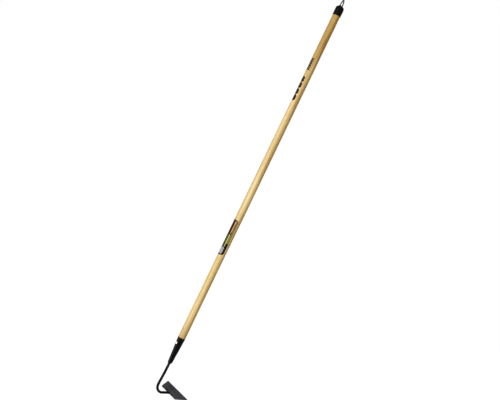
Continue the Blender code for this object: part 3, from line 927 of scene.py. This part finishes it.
# %% [markdown]
# ## Finish: charcoal lacquer on plate
# The blade is hot-rolled plate under a dark grey satin lacquer. The lacquer shows the skin of the
# plate: long faint rolling streaks, pale hairlines and small pits. Shade is painted into its
# colour in three places: a darker band along the borders of both faces, the ground bevel along
# the cutting edge, which is painted nearly black, with fine marks from the wheel across it, and
# the plate's edge walls. The sheared ends are bare. The pattern is laid out in the blade's own
# directions, so a Mapping node turns the place by the rake.

# %% Blade finish
BLADE_EDGE_WIDTH = 0.150
BLADE_BACK_WIDTH = 0.100
BLADE_DEPTH = 0.044
BLADE_THICKNESS = 0.003
BLADE_HALF = BLADE_THICKNESS / 2
BLADE_RAKE = math.radians(20.0)
BLADE_FLARE = (BLADE_EDGE_WIDTH - BLADE_BACK_WIDTH) / 2 / BLADE_DEPTH
BLADE_GROUND_WIDTH = 0.005
BLADE_GROUND_START = BLADE_DEPTH - BLADE_GROUND_WIDTH
BLADE_EDGE_LEFT = 0.0006
FIT_GAP = 0.0003


def blade_matrix():
    """Middle of the blade's back edge. X runs to the cutting edge, Z out of the inner face."""
    skew = BLADE_RAKE - math.atan2(ROD_WAY.z, ROD_WAY.x)
    end = ROD_END + ROD_WAY * (FIT_GAP + BLADE_HALF * math.tan(abs(skew)))
    return Matrix.Translation(end) @ Matrix.Rotation(-BLADE_RAKE, 4, "Y")


BLADE_PLACE = blade_matrix()


def own_place(place, matrix):
    """The place of a point in the piece's own frame, which the matrix gives."""
    node = new_node("Mapping", place)
    node.vector_type = "TEXTURE"
    feed_all(node.inputs, Vector=place, Location=matrix.translation, Rotation=matrix.to_euler())
    return node.outputs["Vector"]


def make_blade_lacquer():
    made, shader, place = new_finish("blade_lacquer", Specular_IOR_Level=0.015)
    place = own_place(place, BLADE_PLACE)
    x, y, z = split(place)
    skin = use_group(paint_skin, place, Peel_Scale=650.0, Film_Scale=45.0)
    rub = use_group(edge_rub, place, Break_Up=0.8)
    rolled = speckle(place, 240.0, 3.0, 0.6, (1.0, 0.05, 1.0))
    hairs = fade(speckle(place, 1100.0, 1.0, stretch=(1.0, 0.016, 1.0)), 0.6, 0.7)
    pits = fade(speckle(place, 900.0, 2.0, 0.6), 0.66, 0.78)
    to_side = minus(plus(times(x, BLADE_FLARE), BLADE_BACK_WIDTH / 2), calc("ABSOLUTE", y))
    inward = times(to_side, math.cos(math.atan(BLADE_FLARE)))
    # Painted shade: a darker band along the borders of both faces and just inside the bevel.
    at_edge = fade(x, BLADE_DEPTH - 0.0085, BLADE_DEPTH - 0.0052)
    border = calc("MAXIMUM", fade(calc("MINIMUM", x, inward), 0.0050, 0.0010), at_edge)
    # Painted shade: the ground bevel is coloured nearly black. The same mask carries the wheel marks.
    ground_shade_and_marks = fade(x, BLADE_GROUND_START - 0.0001, BLADE_GROUND_START + 0.0003)
    ground_shade_and_marks = times(ground_shade_and_marks, fade(z, -0.0010, -0.0004))
    # Painted shade: the plate's edge walls are coloured nearly black, except the sheared ends.
    rim = fade(calc("ABSOLUTE", z), BLADE_HALF - 0.0001, BLADE_HALF - 0.0004)
    sheared = times(rim, fade(inward, 0.0003, 0.0001))
    grey = coats(
        tint(fade(rolled, 0.3, 0.7), (60, 59, 65), (75, 74, 80)),
        (skin["Film"], 0.4, (88, 86, 90)),
        (hairs, 0.3, (104, 103, 108)),
        (pits, 0.5, (40, 40, 42)),
        (border, 0.8, (14, 14, 15)),
        (ground_shade_and_marks, 0.9, (14, 14, 15)),
        (rim, 0.85, (8, 8, 9)),
        (sheared, fade(rolled, 0.2, 0.5, 0.6, 1.0), (156, 154, 150)),
        (rub["Edge"], 0.3, (96, 95, 93)),
    )
    feed_all(shader, Base_Color=grey, Roughness=plus(0.44, times(skin["Mottle"], 0.2)))
    wheel_marks = times(speckle(place, 2600.0, stretch=(0.05, 1.0, 0.05)), ground_shade_and_marks)
    plate = plus(times(rolled, 0.8), times(pits, -1.0), times(hairs, -0.3))
    relief(shader, plus(plate, wheel_marks, times(skin["Height"], 0.5)), depth=0.00006)
    return made


blade_lacquer = tell(make_blade_lacquer())

# %% [markdown]
# ## Piece: the blade
# The blade is a trapezoid of 3 mm plate, 100 mm along its back and 150 mm along its edge. A cube is
# stretched to the trapezoid, its four upright corners are eased, one cut with a plane grinds the
# long edge thin on the inner face, and a last small bevel takes the sharpness off every other edge.

# %% Blade
CORNER_EASE = 0.0012
EDGE_EASE = 0.00022
FIRM_ANGLE = math.radians(45)


def cut_away(bm, point, normal):
    """Cuts everything in front of a plane off a closed shape and closes the cut."""
    everything = bm.verts[:] + bm.edges[:] + bm.faces[:]
    bmesh.ops.bisect_plane(bm, geom=everything, plane_co=point, plane_no=normal, clear_outer=True)
    bmesh.ops.holes_fill(bm, edges=bm.edges)


def ease(bm, edges, size, segments):
    """Rounds edges of a bmesh."""
    round_off = {"segments": segments, "profile": 0.5, "affect": "EDGES", "material": -1}
    bmesh.ops.bevel(bm, geom=edges, offset=size, **round_off)


def make_blade():
    bm = bmesh.new()
    bmesh.ops.create_cube(bm, size=1.0)
    for vert in bm.verts:
        x, y, z = vert.co
        width = BLADE_EDGE_WIDTH if x > 0 else BLADE_BACK_WIDTH
        vert.co = ((x + 0.5) * BLADE_DEPTH, y * width, z * BLADE_THICKNESS)
    upright = [edge for edge in bm.edges if edge.verts[0].co.xy == edge.verts[1].co.xy]
    ease(bm, upright, CORNER_EASE, segments=6)
    taken_off = BLADE_THICKNESS - BLADE_EDGE_LEFT
    slope = Vector((taken_off, 0.0, BLADE_GROUND_WIDTH)).normalized()
    cut_away(bm, Vector((BLADE_GROUND_START, 0.0, BLADE_HALF)), slope)
    bmesh.ops.recalc_face_normals(bm, faces=bm.faces)
    firm = [edge for edge in bm.edges if edge.calc_face_angle(0.0) > FIRM_ANGLE]
    ease(bm, firm, EDGE_EASE, segments=3)
    bmesh.ops.transform(bm, matrix=BLADE_PLACE, verts=bm.verts)
    close_up(bm)
    return hang_on_frame(bm, "plate_blade", "blade", blade_lacquer, sharp=20)


report_piece(make_blade(), "blade")

# %% [markdown]
# ## Pieces: the welds
# Three beads hold the head together: a fillet round the rod under the socket, and one bead on each
# face of the blade where the rod ends. A weld freezes in ripples, one behind the other, as the torch
# moves on. Each bead is a smooth round form first, then its points are pushed out along their
# normals by a ripple and a little noise. The blade's beads are cut flush with the plate and the rod.

# %% Socket weld
FILLET_WIDTH, FILLET_TALL, FILLET_TOP = 0.0026, 0.0045, -0.0003
FILLET_HOLLOW = 1.3
FILLET_RADIUS = 0.0072
FILLET_STEPS = 16
FILLET_RIPPLES = 26
RIPPLE_LEAN = 0.35
WANDER, WANDER_SCALE, LUMP_SCALE = 0.45, 160.0, 420.0


def ripple(bm, along, pitch, depth, lumps):
    """Pushes points out along their normals: ripples by the given distance, and lumps from noise."""
    bm.normal_update()
    for vert in bm.verts:
        wander = WANDER * noise.noise(vert.co * WANDER_SCALE)
        wave = math.cos(FULL_TURN * (along(vert.co) / pitch + wander))
        lump = noise.noise(vert.co * LUMP_SCALE)
        vert.co += vert.normal * (depth * wave + lumps * lump)


def round_the_rod(place):
    """Distance round the fillet. It grows with the height too, so the ripples lean."""
    return FILLET_RADIUS * math.atan2(place.y, place.x) + RIPPLE_LEAN * place.z


def make_socket_weld():
    inner, end = NECK_RADIUS + 0.0001, FILLET_TOP - FILLET_TALL
    shares = [step / FILLET_STEPS for step in range(FILLET_STEPS)]
    widths = [FILLET_WIDTH * (1.0 - share) ** FILLET_HOLLOW for share in shares]
    slope = [(inner + width, FILLET_TOP - FILLET_TALL * share) for width, share in zip(widths, shares)]
    profile = [(inner, FILLET_TOP), *slope, (inner, end), (inner, FILLET_TOP)]
    bm = turn_on_lathe(profile, steps=160)
    close_up(bm)
    pitch = FILLET_RADIUS * FULL_TURN / FILLET_RIPPLES
    ripple(bm, round_the_rod, pitch, depth=0.00011, lumps=0.00012)
    foot = Matrix.Translation((-NECK_SET_BACK, 0.0, SOCKET_END_Z))
    lean = Matrix.Rotation(math.radians(FIRST_LEAN), 4, "Y")
    bmesh.ops.transform(bm, matrix=foot @ lean, verts=bm.verts)
    for vert in bm.verts:
        vert.co.z = min(vert.co.z, SOCKET_END_Z - 0.0001)
    close_up(bm)
    return hang_on_frame(bm, "socket_bead", "socket_weld", weld_enamel)


report_piece(make_socket_weld(), "socket_weld")

# %% Blade welds
BEAD_HALF_SIZES = (0.0052, 0.00655, 0.0034)
BEAD_SINK = 0.00005
RIPPLE_PITCH = 0.0017
RIPPLE_BEND = 26.0


def along_the_bead(place):
    """Distance across the rod's end. It grows toward the cutting edge, so the ripples bend."""
    return place.y + RIPPLE_BEND * place.x**2


def make_blade_weld(name, node, side):
    """A bead on one face of the blade: side is +1 for the inner face, -1 for the outer one."""
    to_blade = BLADE_PLACE.inverted()
    along = to_blade.to_3x3() @ ROD_WAY
    bm = bmesh.new()
    bmesh.ops.create_icosphere(bm, subdivisions=6, radius=1.0)
    on_face = Matrix.Translation((0.0, 0.0, side * BLADE_HALF))
    bmesh.ops.transform(bm, matrix=on_face @ Matrix.Diagonal((*BEAD_HALF_SIZES, 1.0)), verts=bm.verts)
    ripple(bm, along_the_bead, RIPPLE_PITCH, depth=0.00009, lumps=0.00014)
    cut_away(bm, Vector((0.0, 0.0, side * (BLADE_HALF - BEAD_SINK))), Vector((0.0, 0.0, -side)))
    cut_away(bm, to_blade @ ROD_END + along * BEAD_SINK, -along)
    bmesh.ops.transform(bm, matrix=BLADE_PLACE, verts=bm.verts)
    close_up(bm)
    return hang_on_frame(bm, name, node, weld_enamel, sharp=45)


report_piece(make_blade_weld("inner_bead", "blade_weld_inner", 1.0), "blade_weld_inner")
report_piece(make_blade_weld("outer_bead", "blade_weld_outer", -1.0), "blade_weld_outer")

# %% [markdown]
# ## Finish: bright zinc
# The nail is plated and left bright. It is the one metal surface on the tool that isn't painted, and
# it reads as a warm pale spot against the black. The head shows faint rings from forming, and small
# dull dents from the hammer.

# %% Zinc finish
RING_PITCH = 0.0006


def nail_matrix():
    """Axis of the nail: local Z points out of the back of the socket, square to its wall."""
    slope = math.atan2(SOCKET_RIM_RADIUS - SOCKET_END_RADIUS, SOCKET_LENGTH)
    outward = Matrix.Rotation(-math.pi / 2 - slope, 4, "Y")
    return Matrix.Translation((-socket_radius(NAIL_Z), 0.0, NAIL_Z)) @ outward


def make_zinc():
    made, shader, place = new_finish("bright_zinc", Metallic=0.75)
    place = own_place(place, nail_matrix())
    x, y, _ = split(place)
    skin = use_group(paint_skin, place, Peel_Scale=1300.0, Film_Scale=300.0)
    rub = use_group(edge_rub, place, Break_Up=0.5)
    zinc = coats(
        tint(skin["Mottle"], (208, 196, 168), (226, 215, 190)),
        (skin["Film"], 0.3, (150, 138, 114)),
        (rub["Edge"], 0.4, (250, 247, 240)),
    )
    feed_all(shader, Base_Color=zinc, Roughness=plus(0.30, times(skin["Film"], 0.25)))
    rings = calc("SINE", times(distance(x, y), FULL_TURN / RING_PITCH))
    relief(shader, plus(skin["Height"], times(rings, 0.3)), depth=0.00002)
    return made


bright_zinc = tell(make_zinc())

# %% [markdown]
# ## Piece: the fixing nail
# The nail goes through the wall of the socket into the handle and keeps the two together. Head,
# shank and point are one profile, turned on the lathe. Three shallow cuts across the dome are the
# flats that the hammer left.

# %% Nail
HEAD_RADIUS, HEAD_BASE, HEAD_RIM, HEAD_TALL = 0.0050, 0.0001, 0.0004, 0.0014
SHANK_RADIUS, SHANK_LENGTH, POINT_LENGTH = 0.0019, 0.0185, 0.004
HAMMER_FLATS = [
    # tilt and turn in degrees, depth
    (5.0, 40.0, 0.00005),
    (9.0, 165.0, 0.00008),
    (7.0, 285.0, 0.00006),
]


def make_nail():
    rim, rise = HEAD_BASE + HEAD_RIM, HEAD_TALL - HEAD_RIM
    angles = [math.radians(degrees) for degrees in range(87, -1, -6)]
    profile = [
        (0.0, HEAD_BASE + HEAD_TALL),
        *[(HEAD_RADIUS * math.cos(angle), rim + rise * math.sin(angle)) for angle in angles],
        (HEAD_RADIUS - 0.0001, HEAD_BASE),
        (SHANK_RADIUS, HEAD_BASE),
        (SHANK_RADIUS, POINT_LENGTH - SHANK_LENGTH),
        (0.0, -SHANK_LENGTH),
    ]
    bm = turn_on_lathe(profile, steps=48)
    close_up(bm)
    for tilt, turn, depth in HAMMER_FLATS:
        tilted = Matrix.Rotation(math.radians(tilt), 3, "Y") @ Vector((0.0, 0.0, 1.0))
        normal = Matrix.Rotation(math.radians(turn), 3, "Z") @ tilted
        top = max(vert.co.dot(normal) for vert in bm.verts)
        cut_away(bm, normal * (top - depth), normal)
    bmesh.ops.transform(bm, matrix=nail_matrix(), verts=bm.verts)
    close_up(bm)
    return hang_on_frame(bm, "domed_nail", "fixing_nail", bright_zinc, sharp=40)


report_piece(make_nail(), "fixing_nail")

# %% [markdown]
# ## Finish: printed film
# The label is a glossy film. Its design is plain ornament in three fields on a black ground, with an
# olive band and a narrow bare margin down each side: dots with a row of tan beads on dark brown,
# green chevrons, and a pale field with ruled lines. All of it is laid out in millimetres round the
# handle and up from the foot of the label, so it wraps with the film. Faint creases across the film
# catch the light.

# %% Label finish
LABEL_WIDTH = 41.7
LABEL_LENGTH = 139.0
LABEL_CORNER = 17.0
LABEL_RADIUS = 14.15
LABEL_FOOT_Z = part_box("label")[0].z
PRINT_HALF_WIDTH, PRINT_OVERRUN = 18.3, 3.0
BANDS_INNER, BANDS_FOOT = 12.0, 46.0
COLUMN_LOW, COLUMN_HIGH = 6.0, 10.8
BEAD_PITCH = 5.6


def rounded_panel(across, up, half_width, low, high, corner):
    """1 inside an upright panel with round corners, 0 outside. All in millimetres."""
    side = calc("MAXIMUM", minus(calc("ABSOLUTE", across), half_width - corner), 0.0)
    middle = calc("ABSOLUTE", minus(up, (low + high) / 2))
    end = calc("MAXIMUM", minus(middle, (high - low) / 2 - corner), 0.0)
    return fade(distance(side, end), corner + 0.1, corner - 0.1)


def rows_of_discs(across, up, pitch, radius, stagger):
    """Rows of discs. Every second row is shifted by half a pitch times stagger."""
    row = calc("FLOOR", calc("DIVIDE", up, pitch))
    shift = times(calc("FRACT", times(row, 0.5)), pitch * stagger)
    sideways = minus(repeat(plus(across, shift), pitch), pitch / 2)
    upwards = minus(repeat(up, pitch), pitch / 2)
    return fade(distance(sideways, upwards), radius + 0.12, radius - 0.12)


def label_fields(across, up):
    """The panels of the three fields: half width, foot, top, corner and the pattern on it."""
    aside = calc("ABSOLUTE", across)
    column = between(aside, COLUMN_LOW, COLUMN_HIGH, soft=0.15)
    dots = rows_of_discs(across, up, pitch=3.8, radius=1.0, stagger=1.0)
    from_bead = minus(aside, (COLUMN_LOW + COLUMN_HIGH - BEAD_PITCH) / 2)
    beads = rows_of_discs(from_bead, up, BEAD_PITCH, radius=2.3, stagger=0.0)
    upper = tint(dots, (30, 15, 6), (100, 62, 34))
    upper = tint(column, upper, tint(beads, (96, 52, 34), (222, 178, 142)))
    stripe = between(repeat(plus(up, times(aside, 0.8)), 8.0), 2.2, 6.0, soft=0.15)
    middle = tint(stripe, (34, 34, 12), (104, 112, 46))
    middle = tint(column, middle, tint(stripe, (108, 110, 44), (236, 230, 158)))
    rules = times(between(repeat(up, 3.6), 0.8, 2.0, soft=0.1), fade(aside, 8.2, 8.0))
    lower = tint(rules, (192, 189, 188), (78, 75, 75))
    return (
        (10.8, 84.0, 138.0, 8.0, upper),
        (10.8, 46.0, 82.0, 2.0, middle),
        (9.2, 32.0, 47.0, 0.5, middle),
        (9.2, 4.0, 31.0, 4.0, lower),
    )


def make_film():
    plain = {"Coat_Weight": 0.02, "Coat_Roughness": 0.2, "Specular_IOR_Level": 0.03}
    made, shader, place = new_finish("printed_film", **plain)
    across, z = round_the_back(place, LABEL_RADIUS)
    up = times(minus(z, LABEL_FOOT_Z), 1000.0)
    at_side = fade(calc("ABSOLUTE", across), BANDS_INNER - 0.1, BANDS_INNER + 0.1)
    bands = times(at_side, fade(up, BANDS_FOOT - 0.1, BANDS_FOOT + 0.1))
    colour = tint(bands, (12, 8, 7), (146, 122, 52))
    for *panel, field in label_fields(across, up):
        colour = tint(rounded_panel(across, up, *panel), colour, field)
    low, high = -PRINT_OVERRUN, LABEL_LENGTH + PRINT_OVERRUN
    printed = rounded_panel(across, up, PRINT_HALF_WIDTH, low, high, LABEL_CORNER)
    colour = tint(printed, (242, 214, 144), colour)
    cloud = speckle(place, 160.0, 3.0, 0.6)
    colour = tint(fade(cloud, 0.55, 0.8, 0.0, 0.08), colour, (214, 206, 190))
    feed_all(shader, Base_Color=colour, Roughness=fade(cloud, 0.3, 0.75, 0.3, 0.46))
    crease = speckle(place, 90.0, 2.0, 0.5, (1.0, 1.0, 0.35))
    relief(shader, plus(crease, times(cloud, 0.25)), depth=0.00010)
    return made


printed_film = tell(make_film())

# %% [markdown]
# ## Piece: the label
# A label is cut flat and then wrapped, so it is made flat too: a grid, whose columns get shorter
# toward the sides until its ends are round, and whose points are then laid round the handle. A thin
# Solidify gives the film an edge that can catch the light.

# %% Label
FILM_RADIUS = 0.01408
FILM_THICKNESS = 0.00012


def make_label():
    bm = bmesh.new()
    bmesh.ops.create_grid(bm, x_segments=72, y_segments=24, size=1.0)
    for vert in bm.verts:
        across = vert.co.x * LABEL_WIDTH / 2
        past = max(abs(across) - (LABEL_WIDTH / 2 - LABEL_CORNER), 0.0)
        shorter = LABEL_CORNER - math.sqrt(LABEL_CORNER**2 - past**2)
        up = LABEL_LENGTH / 2 + vert.co.y * (LABEL_LENGTH / 2 - shorter)
        angle = math.pi + across / LABEL_RADIUS
        vert.co = on_circle(FILM_RADIUS, angle, LABEL_FOOT_Z + up / 1000)
    face_outwards(bm)
    piece = hang_on_frame(bm, "wrapped_label", "label", printed_film)
    add_modifier(piece, "Film", "SOLIDIFY", thickness=FILM_THICKNESS, offset=1.0)
    return piece


report_piece(make_label(), "label")

# %% [markdown]
# ## The studio
# The tool hangs well clear of a plain pale floor, in front of white. A big soft key light stands to
# the left of the camera, and a weak one behind fills the far side, so that the other views read
# too. A small panel low beside the head, which only gloss shows, puts a sheen on the socket. The
# world is a soft grey for light and pure white for the eye and for gloss. The floor takes the tool's
# shadow, and its own soft glow toward the camera lifts it to the white of the backdrop.

# %% Floor and world
WHITE = (1.0, 1.0, 1.0, 1.0)
HANG_HEIGHT = 0.32
FLOOR_RADIUS = 14.0
FLOOR_GLOW = 0.68
AMBIENT = 0.20


def seen_share(web, *ways):
    """1 for rays of the named kinds, 0 for the rest."""
    rays = web.nodes.new("ShaderNodeLightPath").outputs
    return calc("MAXIMUM", *[rays[way] for way in ways])


def make_floor():
    made, shader, place = new_finish("studio_floor", Specular_IOR_Level=0.1, Roughness=0.9)
    grey = tint(speckle(place, 3.0, 3.0), (238, 238, 237), (242, 242, 241))
    glow = times(seen_share(made.node_tree, "Is Camera Ray", "Is Glossy Ray"), FLOOR_GLOW)
    feed_all(shader, Base_Color=grey, Emission_Color=WHITE, Emission_Strength=glow)
    bm = bmesh.new()
    bmesh.ops.create_circle(bm, cap_ends=True, segments=96, radius=FLOOR_RADIUS)
    floor = put_in_scene("studio_floor", to_mesh(bm, "studio_floor", made))
    floor.location.z = cad_box[0].z - HANG_HEIGHT


def make_world():
    world = bpy.data.worlds.new("studio_world")
    world.use_nodes = True
    seen = seen_share(world.node_tree, "Is Camera Ray", "Is Glossy Ray", "Is Transmission Ray")
    strength = plus(AMBIENT, times(seen, 1.0 - AMBIENT))
    feed_all(world.node_tree.nodes["Background"].inputs, Color=WHITE, Strength=strength)
    bpy.context.scene.world = world


make_floor()
make_world()
print("floor at", round(cad_box[0].z - HANG_HEIGHT, 3), "m, ambient light", AMBIENT)

# %% [markdown]
# The camera stands 2.7 m away, a little above the middle of the tool and 41 degrees round to its
# back left, and it is rolled by 25.7 degrees, so that the tool lies across the picture. Its place
# was fitted to the corners of the blade, the bends of the neck and both ends of the handle.

# %% Camera and lights
CAMERA_AZIMUTH = math.radians(-40.75)
CAMERA_ELEVATION = 2.172
CAMERA_ROLL = math.radians(25.664)
CAMERA_DISTANCE = 2.7228
CAMERA_LENS = 54.24
SENSOR_WIDTH = 36.0
LOOK_AT = Vector((0.005172, -0.004457, -0.78518))
TOOL_HEAD_PLACE = Vector((0.0, 0.0, -1.40))
PANEL_SIZE = {"size": 0.36, "size_y": 0.28}
PANEL_DISTANCE = 0.8


def toward(round_degrees, lift_degrees):
    """A direction, by its angle round the tool from the camera to its left, and its angle up."""
    azimuth = CAMERA_AZIMUTH - math.radians(round_degrees)
    lift = math.radians(lift_degrees)
    level = math.cos(lift)
    return Vector((math.sin(azimuth) * level, -math.cos(azimuth) * level, math.sin(lift)))


def make_camera():
    back = toward(0.0, CAMERA_ELEVATION)
    right = Vector((math.cos(CAMERA_AZIMUTH), math.sin(CAMERA_AZIMUTH), 0.0))
    rolled = Matrix.Rotation(CAMERA_ROLL, 3, back)
    turned = Matrix((rolled @ right, rolled @ back.cross(right), back)).transposed().to_4x4()
    camera = put_in_scene("studio_camera", bpy.data.cameras.new("studio_camera"))
    camera.data.lens = CAMERA_LENS
    camera.data.sensor_width = SENSOR_WIDTH
    camera.matrix_world = Matrix.Translation(LOOK_AT + back * CAMERA_DISTANCE) @ turned
    bpy.context.scene.camera = camera


def make_lamp(name, kind, way, energy, **settings):
    """A lamp whose light comes from a direction."""
    lamp = put_in_scene(name, bpy.data.lights.new(name, kind))
    lamp.data.energy = energy
    for label, value in settings.items():
        setattr(lamp.data, label, value)
    lamp.rotation_mode = "QUATERNION"
    lamp.rotation_quaternion = way.to_track_quat("Z", "Y")
    return lamp


def make_low_panel(way):
    """The panel beside the head."""
    lamp = make_lamp("low_panel", "AREA", way, energy=2.4, shape="RECTANGLE", **PANEL_SIZE)
    lamp.location = TOOL_HEAD_PLACE + way * PANEL_DISTANCE
    lamp.visible_camera = False
    lamp.visible_diffuse = False


make_camera()
make_lamp("key_light", "SUN", toward(34.0, 12.0), energy=2.60, angle=math.radians(20.0))
make_lamp("fill_light", "SUN", toward(205.0, 25.0), energy=0.35, angle=math.radians(60.0))
make_low_panel(toward(66.0, -22.0))
bpy.context.scene.view_settings.view_transform = "Standard"
print("lamps:", [lamp.name for lamp in bpy.data.lights])
